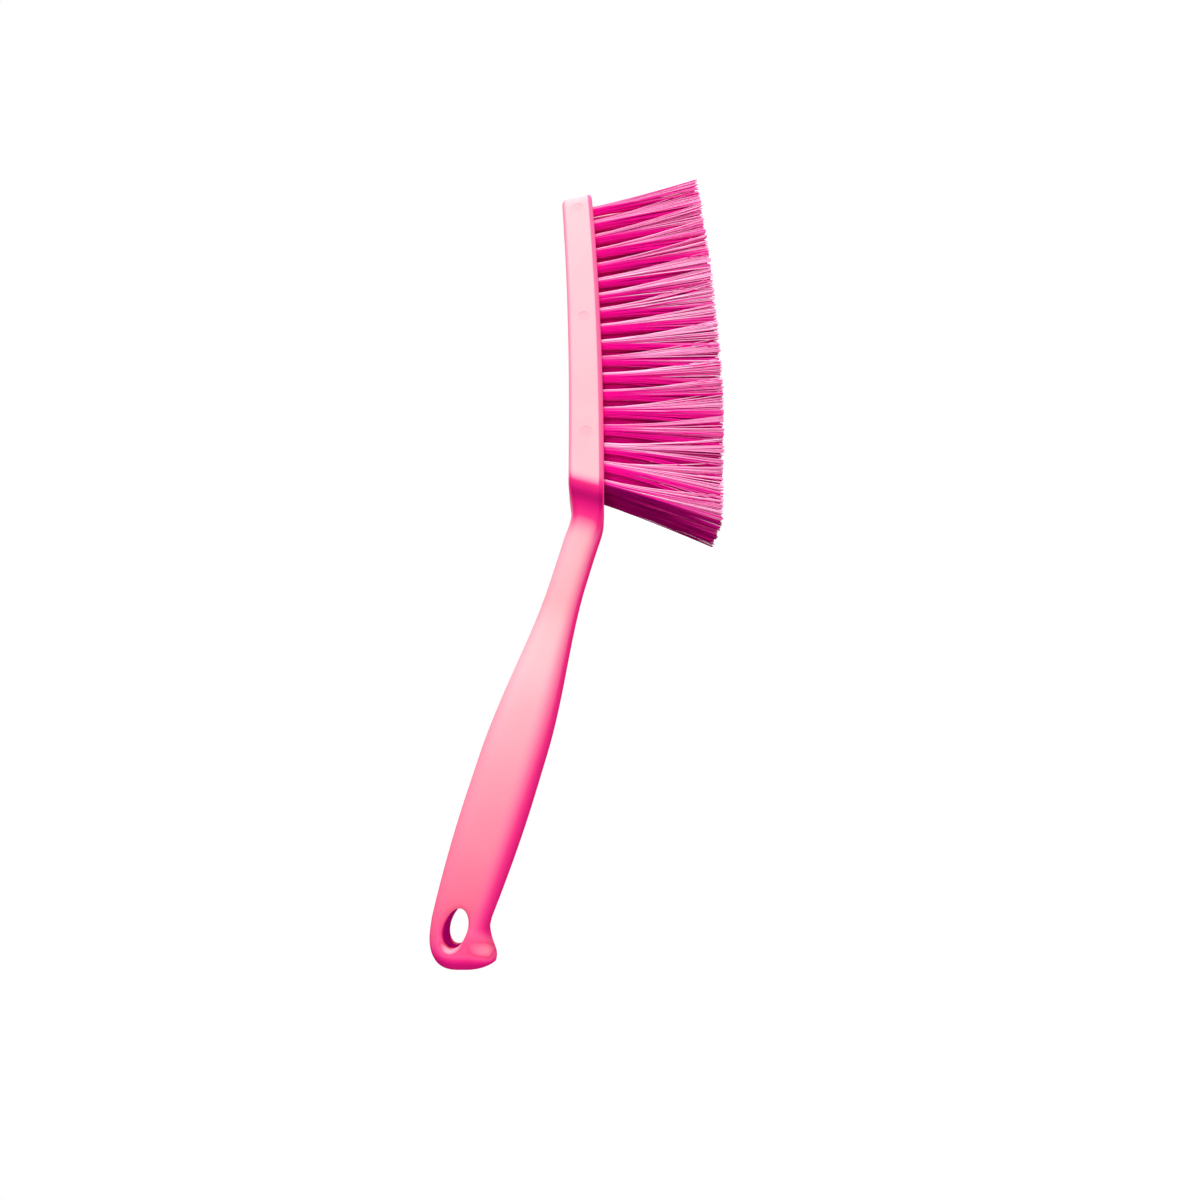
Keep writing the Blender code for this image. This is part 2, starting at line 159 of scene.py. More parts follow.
# the sides draw in behind the block over a round edge and a long hollow, both of them arcs
def shoulderInset(along):
    slope = block["shoulderSlope"]
    edgeRadius = block["shoulderEdgeRadius"]
    inset = (block["width"] - handle["neckWidth"]) / 2
    hollowRadius = inset / (1.0 - math.cos(slope)) - edgeRadius
    length = (edgeRadius + hollowRadius) * math.sin(slope)
    if along < edgeRadius * math.sin(slope):
        return edgeRadius - math.sqrt(edgeRadius ** 2 - max(along, 0.0) ** 2)
    back = max(length - along, 0.0)
    return inset - hollowRadius + math.sqrt(hollowRadius ** 2 - back ** 2)


def halfWidth(x):
    if x > 0.0:
        return block["width"] / 2
    width = block["width"] - 2.0 * shoulderInset(-x)
    width = between(width, handle["gripWidth"], gripShare(-x))
    width = between(width, hook["width"], smoothStep(-x, handle["gripTaperStart"], handle["length"]))
    intoEnd = -x - handle["length"] + hook["endRounding"]
    return width / 2 - quarterRound(intoEnd, hook["endRounding"], hook["endRounding"])


def cornerRadius(x):
    rounder = smoothStep(-x, handle["neckCornerStart"], handle["shoulderLength"])
    radius = between(block["edgeRadius"], handle["neckCornerRadius"], rounder)
    radius = between(radius, handle["gripCornerRadius"], gripShare(-x))
    return min(radius, skinMesh["cornerOfDepth"] * (backHeight(x) - frontHeight(x)),
               skinMesh["cornerOfWidth"] * halfWidth(x))


# how much of the end slant applies at a section: forward at the free end, backward at the shoulder
def slantShare(x):
    if x > 0.0:
        return clamp(2.0 * x / endCentre - 1.0, -1.0, 1.0)
    return -1.0 + smoothStep(-x, handle["shoulderLength"], handle["gripStart"])


# one place on the rounded rectangle: its flat or corner, and its turn round the corner
def ringPlaces():
    corners = ((1, 1), (-1, 1), (-1, -1), (1, -1))
    places = []
    for i, (side, level) in enumerate(corners):
        nextLevel = corners[(i + 1) % len(corners)][1]
        for step in range(skinMesh["cornerSteps"] + 1):
            turn = quarterTurn * (i + step / skinMesh["cornerSteps"])
            places.append((side, level, math.cos(turn), math.sin(turn), None))
        if level == nextLevel:
            for seam in (1, 0, -1):  # the parting line runs along the middle of the back and the front
                places.append((side, level, 0.0, float(level), seam))
        else:
            for share in skinMesh["sideShares"]:
                places.append((side, between(level, nextLevel, share), float(side), 0.0, None))
    return places


# a section is a distance along X and, at the round free end, a turn about the end's own axis
def sections():
    endSteps = skinMesh["endSteps"]
    found = [(endCentre, quarterTurn * (1.0 - i / endSteps)) for i in range(endSteps)]
    edge = block["shoulderEdgeRadius"] * math.sin(block["shoulderSlope"])
    last = skinMesh["lastOfBlock"]
    runs = ((endCentre, last, skinMesh["blockSteps"]), (last, 0.0, skinMesh["lastSteps"]),
            (0.0, -edge, skinMesh["shoulderEdgeSteps"]),
            (-edge, -handle["shoulderLength"], skinMesh["shoulderSteps"]),
            (-handle["shoulderLength"], -waist, skinMesh["gripSteps"]))
    for start, end, count in runs:
        found += [(between(start, end, i / count), 0.0) for i in range(count)]
    for i in range(skinMesh["hookSteps"] + 1):
        reach = math.sin(quarterTurn * i / skinMesh["hookSteps"])
        found.append((-waist - hook["waistFromEnd"] * reach, 0.0))
    return found


def skinPoint(place, section):
    side, level, across, up, seam = place
    x, turn = section
    radius = cornerRadius(x)
    depth = backHeight(x) - frontHeight(x)
    room = halfWidth(x) - radius
    y = side * room + radius * across
    if seam is not None:
        y = side * seam * min(skinMesh["seamWidth"], room) / 2
    share = 0.5 + (level * (depth / 2 - radius) + radius * up) / depth
    x += abs(y) * math.sin(turn) + block["endSlant"] * (0.5 - share) * slantShare(x)
    z = between(frontHeight(x), backHeight(x), share)
    if seam == 0:
        z += level * skinMesh["seamHeight"]
    return Vector((x, y * math.cos(turn), z))


def newVerts(geom):
    return [item for item in geom if isinstance(item, bmesh.types.BMVert)]


# grows a row of faces from edges, and returns the new edges once their vertices are placed
def growRow(bm, edges, placeVert):
    grown = bmesh.ops.extrude_edge_only(bm, edges=edges)["geom"]
    fresh = set(newVerts(grown))
    for vert in fresh:
        vert.co = placeVert(vert)
    return [item for item in grown
            if isinstance(item, bmesh.types.BMEdge) and fresh.issuperset(item.verts)]


def objectFrom(bm, name):
    mesh = bpy.data.meshes.new(name)
    bm.to_mesh(mesh)
    bm.free()
    thing = bpy.data.objects.new(name, mesh)
    bpy.context.scene.collection.objects.link(thing)
    return thing


def mouldingSkin():
    bm = bmesh.new()
    order = bm.verts.layers.int.new("order")
    places = ringPlaces()
    first, *others = sections()
    for i, vert in enumerate(bmesh.ops.create_circle(bm, segments=len(places), radius=1.0)["verts"]):
        vert[order] = i
        vert.co = skinPoint(places[i], first)
    edges = bm.edges[:]
    for section in others:
        edges = growRow(bm, edges, lambda vert: skinPoint(places[vert[order]], section))
    bmesh.ops.contextual_create(bm, geom=edges)
    bmesh.ops.remove_doubles(bm, verts=bm.verts, dist=skinMesh["weld"])
    bmesh.ops.recalc_face_normals(bm, faces=bm.faces)
    return objectFrom(bm, "moulding")


# a tuft's hole: its mouth on the bristle face, with Z along the hole and out of the block's back
def tuftFrame(x, row):
    turn = Matrix.Rotation(-math.radians(fanAt((x - firstHole) / drilledLength)), 4, "Y")
    lean = Matrix.Rotation(row * tuft["rowLean"], 4, "X")
    return Matrix.Translation((x, row * rowPitch, faceHeight(x))) @ turn @ lean


def tuftPlaces():
    return [(f"tuft_{letter}{i + 1:02d}", firstHole + tuftPitch * i, row)
            for letter, row in (("a", -1), ("b", 0), ("c", 1)) for i in range(drilling["tuftsInRow"])]


# a round peg for cutting, its middle and its turn given by a matrix
def addPeg(bm, points, diameter, length, place):
    bmesh.ops.create_cone(bm, cap_ends=True, segments=points, radius1=diameter / 2,
                          radius2=diameter / 2, depth=length, matrix=place)


def drills():
    bm = bmesh.new()
    length = drilling["depth"] + drilling["overshoot"]
    middle = Matrix.Translation((0.0, 0.0, length / 2 - drilling["overshoot"]))
    for _, x, row in tuftPlaces():
        addPeg(bm, drilling["points"], drilling["diameter"], length, tuftFrame(x, row) @ middle)
    return objectFrom(bm, "drills")


# shallow round marks that the ejector pins leave on the near side of the block
pinMarks = {
    "places": (143.6, 80.4, 22.4), "diameter": 5.0, "depth": 0.12, "stampLength": 2.0, "points": 40,
    "floorShares": (0.5, 2.0),  # of the depth, between which a point counts as the mark's floor
}


def pinStamps():
    bm = bmesh.new()
    length = pinMarks["stampLength"]
    y = pinMarks["depth"] - block["width"] / 2 - length / 2
    for x in pinMarks["places"]:
        middle = Matrix.Translation((x, y, faceHeight(x) + block["thickness"] / 2))
        place = middle @ Matrix.Rotation(quarterTurn, 4, "X")
        addPeg(bm, pinMarks["points"], pinMarks["diameter"], length, place)
    return objectFrom(bm, "pin_stamps")


hangHole = {
    "width": 7.7, "length": 12.3, "fromEnd": 12.3, "lip": 1.8,  # its length lies along the handle
    "points": 72, "lipSteps": 5, "wallRows": 8, "weld": 0.10,
    "wallMargin": 0.004,  # a face this near the outer oval, as a share of it, is the punched wall
    "within": 0.999,  # a point inside this share of it belongs to the hole
}


def hangHoleFrame():
    along = handle["length"] - hangHole["fromEnd"]
    turn = Matrix.Rotation(handle["angle"], 4, "Y")
    return Matrix.Translation((-along, 0.0, axisHeight(along))) @ turn


# the hole's outer oval, where its rounded lip runs out into the side
def lipOval():
    return hangHole["length"] / 2 + hangHole["lip"], hangHole["width"] / 2 + hangHole["lip"]


def hangHolePunch():
    bm = bmesh.new()
    long, wide = lipOval()
    beside = hangHoleFrame() @ Matrix.Translation((0.0, handle["gripWidth"], 0.0))
    upright = beside @ Matrix.Rotation(quarterTurn, 4, "X")
    bmesh.ops.create_circle(bm, cap_ends=True, segments=hangHole["points"], radius=1.0,
                            matrix=upright @ Matrix.Diagonal((long, wide, 1.0, 1.0)))
    grown = bmesh.ops.extrude_face_region(bm, geom=bm.faces[:])["geom"]
    bmesh.ops.translate(bm, verts=newVerts(grown), vec=(0.0, -2.0 * handle["gripWidth"], 0.0))
    bmesh.ops.recalc_face_normals(bm, faces=bm.faces)
    return objectFrom(bm, "hang_hole_punch")


def cut(thing, cutter):
    modifier = thing.modifiers.new(cutter.name, "BOOLEAN")
    modifier.operation = "DIFFERENCE"
    modifier.solver = "EXACT"
    modifier.object = cutter
    shape = bpy.data.meshes.new_from_object(thing.evaluated_get(bpy.context.evaluated_depsgraph_get()))
    thing.modifiers.clear()
    thing.data = shape
    bpy.data.objects.remove(cutter)


# opens the punched hole's straight wall and grows a rounded lip from each side instead
def roundHangHole(thing):
    bm = bmesh.new()
    bm.from_mesh(thing.data)
    angle = bm.verts.layers.float.new("angle")
    level = bm.verts.layers.float.new("level")
    frameOut = hangHoleFrame()
    frameIn = frameOut.inverted()
    long, wide = lipOval()

    def isWall(face):
        spots = [frameIn @ vert.co for vert in face.verts]
        return all(abs(math.hypot(spot.x / long, spot.z / wide) - 1.0) < hangHole["wallMargin"]
                   for spot in spots)

    walls = [face for face in bm.faces if isWall(face)]
    bmesh.ops.delete(bm, geom=walls, context="FACES")
    rim = {vert for edge in bm.edges if edge.is_boundary for vert in edge.verts}
    bmesh.ops.remove_doubles(bm, verts=list(rim), dist=hangHole["weld"])
    for vert in bm.verts:
        spot = frameIn @ vert.co
        vert[angle] = math.atan2(spot.z / wide, spot.x / long)
        vert[level] = spot.y

    loops = []
    for side in (-1, 1):
        edges = [edge for edge in bm.edges if edge.is_boundary and side * edge.verts[0].co.y > 0.0]
        for step in range(hangHole["lipSteps"]):
            turned = quarterTurn * (step + 1) / hangHole["lipSteps"]
            inwards = hangHole["lip"] * math.sin(turned)
            deeper = hangHole["lip"] * (1.0 - math.cos(turned))
            edges = growRow(bm, edges, lambda vert: frameOut @ Vector((
                (long - inwards) * math.cos(vert[angle]), vert[level] - side * deeper,
                (wide - inwards) * math.sin(vert[angle]))))
        loops += edges
    wall = bmesh.ops.bridge_loops(bm, edges=loops)["edges"]
    bmesh.ops.subdivide_edges(bm, edges=wall, cuts=hangHole["wallRows"] - 1)
    bmesh.ops.recalc_face_normals(bm, faces=bm.faces)
    bm.to_mesh(thing.data)
    bm.free()


# from the brush's own millimetres to metres at rest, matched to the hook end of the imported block
def restMatrix(thing):
    tilt = Matrix.Rotation(-restTilt, 4, "Y") @ Matrix.Scale(mm, 4)
    spots = [tilt @ vert.co for vert in thing.data.vertices]
    low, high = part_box("handle_block")
    hookEnd = min(spot.x for spot in spots)
    top = max(spot.z for spot in spots)
    return Matrix.Translation((low.x - hookEnd, 0.0, high.z - top)) @ tilt


tuft = {
    "filaments": 80, "filamentTurn": 137.5,  # degrees from each to the next, which packs them evenly
    "rowLean": math.radians(3.0), "rootDepth": 3.0, "rootMargin": 0.25,
    "spreadAlong": 0.85, "spreadAcross": 0.55,  # how far the tips fan out, as a share of their pitch
    "endSpread": 0.55,  # the end tufts fan out less where no neighbour follows
    "clumps": 7, "clumpTurn": 20.0, "clumpReach": (0.35, 0.95), "clumpPull": 0.5,  # where tips gather
    "jitter": 0.12, "bend": 1.5, "strays": 0.04, "strayReach": 0.5, "seed": 11,
}
# colour of a filament, from deep to pale, with light and shade painted in: pale where light falls, on
# the side of its tuft that faces the free end and the outside, on more of the tuft the nearer the tips,
# deep where shade falls inside the tuft, and differing at random by clump and by filament
filamentToneAndLight = {
    "towardsEnd": 0.75, "outwards": 0.3, "clumpSpread": 0.3, "spread": 0.1,
    "rootBand": (0.12, 0.48), "tipBand": (-0.55, 0.15), "inner": (-0.55, 0.30), "middleRow": 0.3,
    # painted glints: some strands near-white towards their tips, more on the side facing the free end
    "deep": 0.14, "pale": 0.92, "glintShare": 0.19, "glintFrom": (0.05, 0.30),
    "turned": 0.12, "facing": (-0.45, 0.45),  # less pale where a strand's skin turns from the light,
    "lightFromEnd": 0.8,  # which falls on it from the side and, by this much, from the free end
    "underRoot": (-0.10, 0.40), "underTip": (0.35, 0.85),  # the first tufts' lower side gets none
}
# the bowed line that the tips are cut to, by mm below the bristle face
trim = {
    "depth": 50.0, "peak": 51.0, "headRadius": 1110.0, "neckRadius": 590.0, "scatter": 0.7,
    "restCut": 0.5, "searchRounds": 4,
}
filament = {"radius": 0.22, "tipRadius": 0.20, "sides": 5, "cuts": 4}
# lean of the tufts towards the free end, in degrees, by share of the drilled length
fan = ((0.0, -18.8), (0.06, -12.8), (0.12, -7.5), (0.18, -4.0), (0.31, -1.0), (0.42, 0.5),
       (0.55, 5.0), (0.71, 8.5), (0.87, 10.8), (1.0, 12.8))


# smooth curve through the fan's points
def fanAt(share):
    i = 0
    while i < len(fan) - 2 and share > fan[i + 1][0]:
        i += 1
    (x0, y0), (x1, y1) = fan[i], fan[i + 1]
    before, after = fan[max(i - 1, 0)], fan[min(i + 2, len(fan) - 1)]
    slope0 = (y1 - before[1]) / (x1 - before[0]) * (x1 - x0)
    slope1 = (after[1] - y0) / (after[0] - x0) * (x1 - x0)
    t = clamp((share - x0) / (x1 - x0))
    return ((2 * t ** 3 - 3 * t ** 2 + 1) * y0 + (t ** 3 - 2 * t ** 2 + t) * slope0
            + (3 * t ** 2 - 2 * t ** 3) * y1 + (t ** 3 - t ** 2) * slope1)


def trimHeight(x):
    radius = trim["headRadius"] if x > trim["peak"] else trim["neckRadius"]
    return (x - trim["peak"]) ** 2 / (2.0 * radius) - trim["depth"]


# the surface that the brush stands on, in its own tipped frame
def floorHeight(x):
    touch = trim["peak"] - trim["neckRadius"] * math.tan(restTilt)
    level = touch * math.sin(restTilt) + trimHeight(touch) * math.cos(restTilt) + trim["restCut"]
    return (level - x * math.sin(restTilt)) / math.cos(restTilt)


# where a tuft's axis meets the trim line, found by stepping closer
def tipCentre(place):
    root = place.translation
    direction = place.to_3x3() @ Vector((0.0, 0.0, -1.0))
    reach = trim["depth"]
    for _ in range(trim["searchRounds"]):
        tip = root + direction * reach
        reach += (tip.z - trimHeight(tip.x)) / -direction.z
    return root + direction * reach


# a straight filament from -0.5 to 0.5 along Z, ringed where it can bend
def straightFilament():
    bm = bmesh.new()
    bmesh.ops.create_cone(bm, cap_ends=True, segments=filament["sides"], radius1=filament["radius"],
                          radius2=filament["tipRadius"], depth=1.0)
    lengthwise = [edge for edge in bm.edges if edge.verts[0].co.z * edge.verts[1].co.z < 0.0]
    bmesh.ops.subdivide_edges(bm, edges=lengthwise, cuts=filament["cuts"])
    mesh = bpy.data.meshes.new("straight_filament")
    bm.to_mesh(mesh)
    bm.free()
    return mesh


# how strongly a value shows at t along a filament, by a band that moves from the root's to the tip's
def bandAt(value, t, rootBand, tipBand):
    start, end = [between(low, high, clamp(t)) for low, high in zip(rootBand, tipBand)]
    return smoothStep(value, start, end)


# painted light and shade along a filament: pale where light falls, painted glints, and deep on the
# first tufts' lower side
def toneAndLightAt(look, t, facing):
    exposed = bandAt(look["exposed"], t, filamentToneAndLight["rootBand"], filamentToneAndLight["tipBand"])
    lit = look["outside"] * filamentToneAndLight["pale"] * exposed
    if look["isGlinting"]:
        lit = between(lit, 1.0, smoothStep(t, *filamentToneAndLight["glintFrom"]))
    lit *= between(filamentToneAndLight["turned"], 1.0, smoothStep(facing, *filamentToneAndLight["facing"]))
    under = bandAt(look["under"], t, filamentToneAndLight["underRoot"], filamentToneAndLight["underTip"])
    return (1.0 - under) * between(filamentToneAndLight["deep"], 1.0, lit)


# each clump's place across the tuft, and its own tone
def tuftClumps(phase, chance):
    clumps = []
    for i in range(tuft["clumps"]):
        astray = chance.uniform(-tuft["clumpTurn"], tuft["clumpTurn"])
        turn = math.radians(phase + 360.0 * i / tuft["clumps"] + astray)
        out = chance.uniform(*tuft["clumpReach"])
        clumps.append(Vector((out * math.cos(turn), out * math.sin(turn), chance.uniform(-1.0, 1.0))))
    return clumps


def filamentTuft(name, x, row, straight, toRest, chance):
    bm = bmesh.new()
    # each point's colour value with light and shade painted in
    toneAndLight = bm.verts.layers.float.new("toneAndLight")
    place = tuftFrame(x, row)
    axis = (place.to_3x3() @ Vector((0.0, 0.0, -1.0))).normalized()
    middle = tipCentre(place)
    before, after = [tipCentre(tuftFrame(x + step, row)) for step in (-tuftPitch / 2, tuftPitch / 2)]
    pitchX = after.x - before.x
    pitchY = tipCentre(tuftFrame(x, 1)).y
    mouth = drilling["diameter"] / 2 - tuft["rootMargin"]
    isFirst = x < firstHole + tuftPitch / 2
    isLast = x > firstHole + drilledLength - tuftPitch / 2
    outwards = Vector((filamentToneAndLight["lightFromEnd"], row, 0.0)).normalized()
    phase = chance.uniform(0.0, 360.0)
    clumps = tuftClumps(phase, chance)
    firstVert = 0
    for i in range(tuft["filaments"]):
        turn = math.radians(phase + tuft["filamentTurn"] * i)
        own = math.sqrt((i + 0.5) / tuft["filaments"]) * Vector((math.cos(turn), math.sin(turn)))
        nearest = min(clumps, key=lambda clump: (clump.xy - own).length)
        out = own.lerp(nearest.xy, tuft["clumpPull"])  # where its tip lies across the tuft
        out += Vector((chance.gauss(0.0, tuft["jitter"]), chance.gauss(0.0, tuft["jitter"])))
        isStray = chance.random() < tuft["strays"]
        if isStray:
            out += tuft["strayReach"] * Vector((chance.uniform(-1.0, 1.0), chance.uniform(-1.0, 1.0)))
        isHeldIn = (isFirst and out.x < 0.0) or (isLast and out.x > 0.0 and not isStray)
        reach = tuft["endSpread"] if isHeldIn else 1.0
        tip = Vector((middle.x + out.x * tuft["spreadAlong"] * pitchX * reach,
                      middle.y + out.y * tuft["spreadAcross"] * pitchY, 0.0))
        tip.z = max(trimHeight(tip.x) + chance.uniform(0.0, trim["scatter"]), floorHeight(tip.x))

        # how the light reaches it
        exposed = filamentToneAndLight["towardsEnd"] * own.x + filamentToneAndLight["outwards"] * own.y * row
        exposed += filamentToneAndLight["clumpSpread"] * nearest.z + chance.gauss(0.0, filamentToneAndLight["spread"])
        outside = smoothStep(own.y * row, *filamentToneAndLight["inner"]) if row else filamentToneAndLight["middleRow"]
        if isFirst or isLast:
            outside = 1.0
        # painted glint on some strands, more on the side facing the free end
        isGlinting = chance.random() < filamentToneAndLight["glintShare"] * (1.0 + own.x) * outside
        look = {"exposed": exposed, "outside": outside, "isGlinting": isGlinting,
                "under": -own.x if isFirst else -1.0}

        # bent from its hole to its tip
        root = place @ Vector((own.x * mouth, own.y * mouth, 0.0))
        length = (tip - root).length
        start = axis * length
        drift = tip - root - start
        aimed = (tip - root).to_track_quat("Z", "Y").to_matrix()
        inside = tuft["rootDepth"] / length
        bm.from_mesh(straight)
        bm.verts.ensure_lookup_table()
        for vert in bm.verts[firstVert:]:
            t = between(-inside, 1.0, vert.co.z + 0.5)
            spot = root + start * t + drift * max(t, 0.0) ** tuft["bend"]
            around = aimed @ Vector((vert.co.x, vert.co.y, 0.0))
            vert.co = toRest @ (spot + around)
            vert.co.z = max(vert.co.z, 0.0)
            vert[toneAndLight] = toneAndLightAt(look, t, around.normalized() @ outwards)
        firstVert = len(bm.verts)
    bmesh.ops.recalc_face_normals(bm, faces=bm.faces)
    return objectFrom(bm, name)


# sRGB hex to the linear values that Blender works in
def colour(text):
    values = [int(text[i:i + 2], 16) / 255 for i in (1, 3, 5)]
    return [v / 12.92 if v <= 0.04045 else ((v + 0.055) / 1.055) ** 2.4 for v in values] + [1.0]


# adds a node, sets its properties and inputs, and links inputs given as another node's socket
def addNode(tree, kind, settings=None, inputs=None):
    node = tree.nodes.new(kind)
    for name, value in (settings or {}).items():
        setattr(node, name, value)
    for name, value in (inputs or {}).items():
        if isinstance(value, bpy.types.NodeSocket):
            tree.links.new(value, node.inputs[name])
        else:
            node.inputs[name].default_value = value
    return node


def rampTint(tree, value, stops):
    node = addNode(tree, "ShaderNodeValToRGB", None, {"Fac": value})
    points = node.color_ramp.elements
    while len(points) > 1:
        points.remove(points[-1])
    points[0].position, points[0].color = stops[0][0], colour(stops[0][1])
    for position, tint in stops[1:]:
        points.new(position).color = colour(tint)
    return node.outputs["Color"]


# the Mix node's tints are its inputs 6 and 7 and its output 2
def mixTints(tree, share, first, second, blend="MIX"):
    return addNode(tree, "ShaderNodeMix", {"data_type": "RGBA", "blend_type": blend},
                   {"Factor": share, 6: first, 7: second}).outputs[2]


def mapRange(tree, value, fromLow=0.0, fromHigh=1.0, toLow=0.0, toHigh=1.0):
    return addNode(tree, "ShaderNodeMapRange", None,
                   {"Value": value, "From Min": fromLow, "From Max": fromHigh,
                    "To Min": toLow, "To Max": toHigh}).outputs["Result"]


# cloudy pattern whose patches are about so many millimetres across
def noise(tree, where, size, detail):
    return addNode(tree, "ShaderNodeTexNoise", None,
                   {"Vector": where, "Scale": 1.0 / (size * mm), "Detail": detail}).outputs["Fac"]


def attribute(tree, name):
    return addNode(tree, "ShaderNodeAttribute", {"attribute_name": name}).outputs["Fac"]


def newMaterial(name):
    material = bpy.data.materials.new(name)
    material.use_nodes = True
    material.node_tree.nodes.clear()
    return material, material.node_tree


# painted shade, as a depth of pink at each point: deeper where shade falls, on the bristle side, where
# the skin turns towards the back or the hook, on the sides just behind the shoulder, and inside the
# hanging hole, and paler by painted highlights where the hook and the hole's lip face the head. Three
# values are a start, an end and a share, measured by how far the skin faces that way if no note says
# otherwise
paintedShade = {
    "bandOfBlock": (2.3, 1.8, 0.40),  # by mm above the bristle side
    "bristleSide": (0.64, 1.0, 0.46),  # by share of the handle's depth, from its back
    "towardsHook": (-60.0, -150.0, 0.38),  # by X, how much more the bristle side deepens
    "edge": (0.74, 1.04, 0.46), "towardsBack": (-0.02, 0.65, 0.27), "backOfHandle": (0.1, 1.0, 0.12),
    "hookFrom": (-160.0, -167.0), "hookEnd": (-0.2, 0.6, 0.84),
    # painted highlight on the hook where it faces the head
    "lit": (-0.3, 0.8, 0.46),  # paler by this where the hook faces the head
    # painted shadow on the sides just behind the shoulder
    "shoulderRise": (-4.0, 5.5), "shoulderFall": (5.0, 24.0),  # by mm behind the shoulder
    "sideways": (0.30, 0.85), "shoulderShare": 0.88,
    # painted shade inside the hanging hole
    "inHole": (0.0, 4.0), "holeShare": 0.98,  # by mm below the side face
    # painted highlight on the hole's lip that faces the head
    "litLip": 2.4, "lip": (0.20, 0.90, 0.55),  # paler on the hole's lip that faces the head
    # painted shade on the sunk floors of the ejector pins' marks
    "pinMark": 0.05,
}


def paintedShadeShare(name, measure):
    start, end, share = paintedShade[name]
    return share * smoothStep(measure, start, end)


# the skin before it is cut, for finding its smooth normals
def uncutSkin(thing):
    spots = [vert.co.copy() for vert in thing.data.vertices]
    normals = [vert.normal.copy() for vert in thing.data.vertices]
    faces = [tuple(face.vertices) for face in thing.data.polygons]
    return BVHTree.FromPolygons(spots, faces), spots, normals, faces


# the uncut skin's smooth normal at a point, so that drilled holes and pin marks don't disturb the
# painted shade
def skinNormal(skin, spot):
    tree, spots, normals, faces = skin
    total = Vector()
    for i in faces[tree.find_nearest(spot)[2]]:
        total += normals[i] / ((spots[i] - spot).length_squared + skinMesh["atVertex"])
    return total.normalized()


# share of the section's depth from its back to the bristle side
def shareFromBack(spot):
    return (backHeight(spot.x) - spot.z) / (backHeight(spot.x) - frontHeight(spot.x))


# distance behind the shoulder's slanted line
def behindShoulder(spot):
    return block["endSlant"] * (0.5 - shareFromBack(spot)) - spot.x


# the sunk floor of an ejector pin's mark
def onPinMark(spot):
    sunk = block["width"] / 2 + spot.y
    reach = pinMarks["diameter"] / 2 + pinMarks["depth"]
    near = any(math.hypot(spot.x - x, spot.z - faceHeight(x) - block["thickness"] / 2) < reach
               for x in pinMarks["places"])
    low, high = pinMarks["floorShares"]
    return near and low * pinMarks["depth"] < sunk < high * pinMarks["depth"]


# paints shade and highlights into the moulding's colour, stored per point for the material
def markPaintedShade(thing, skin):
    depths = []
    holeIn = hangHoleFrame().inverted()
    long, wide = lipOval()
    for vert in thing.data.vertices:
        spot = holeIn @ vert.co
        inHole = math.hypot(spot.x / long, spot.z / wide) < hangHole["within"]
        facing = vert.normal if inHole else skinNormal(skin, vert.co)
        height = vert.co.z - frontHeight(vert.co.x)
        onHandle = smoothStep(-vert.co.x, 0.0, handle["shoulderLength"])
        onHook = smoothStep(vert.co.x, *paintedShade["hookFrom"])
        onGrip = onHandle * (1.0 - onHook) * (1.0 + paintedShadeShare("towardsHook", vert.co.x))
        deepened = (("bandOfBlock", height, 1.0 - onHandle),
                    ("bristleSide", shareFromBack(vert.co), onGrip),
                    ("edge", -facing.z, onHandle), ("towardsBack", facing.z, 1.0 - onHandle),
                    ("backOfHandle", facing.z, onHandle), ("hookEnd", -facing.x, onHook))
        pale = 1.0
        for name, measure, weight in deepened:
            pale *= 1.0 - weight * paintedShadeShare(name, measure)
        # painted shadow on the sides just behind the shoulder
        behind = behindShoulder(vert.co)
        shadow = paintedShade["shoulderShare"] * smoothStep(behind, *paintedShade["shoulderRise"])
        shadow *= 1.0 - smoothStep(behind, *paintedShade["shoulderFall"])
        pale *= 1.0 - shadow * smoothStep(abs(facing.y), *paintedShade["sideways"])
        depth = 1.0 - pale
        # painted shade, darker the deeper in the hole, with a painted highlight on the lip that faces
        # the head
        if inHole:
            sunk = halfWidth(vert.co.x) - abs(vert.co.y) - paintedShade["litLip"] * clamp(facing.x)
            depth = between(depth - paintedShadeShare("lip", facing.x), paintedShade["holeShare"],
                            smoothStep(sunk, *paintedShade["inHole"]))
        else:
            # painted highlight where the hook faces the head
            depth -= onHook * paintedShadeShare("lit", facing.x)
        # painted shade on the floor of a pin mark
        if onPinMark(vert.co):
            depth += paintedShade["pinMark"]
        depths.append(clamp(depth, -1.0, 1.0))
    thing.data.attributes.new("painted_shade", "FLOAT", "POINT").data.foreach_set("value", depths)


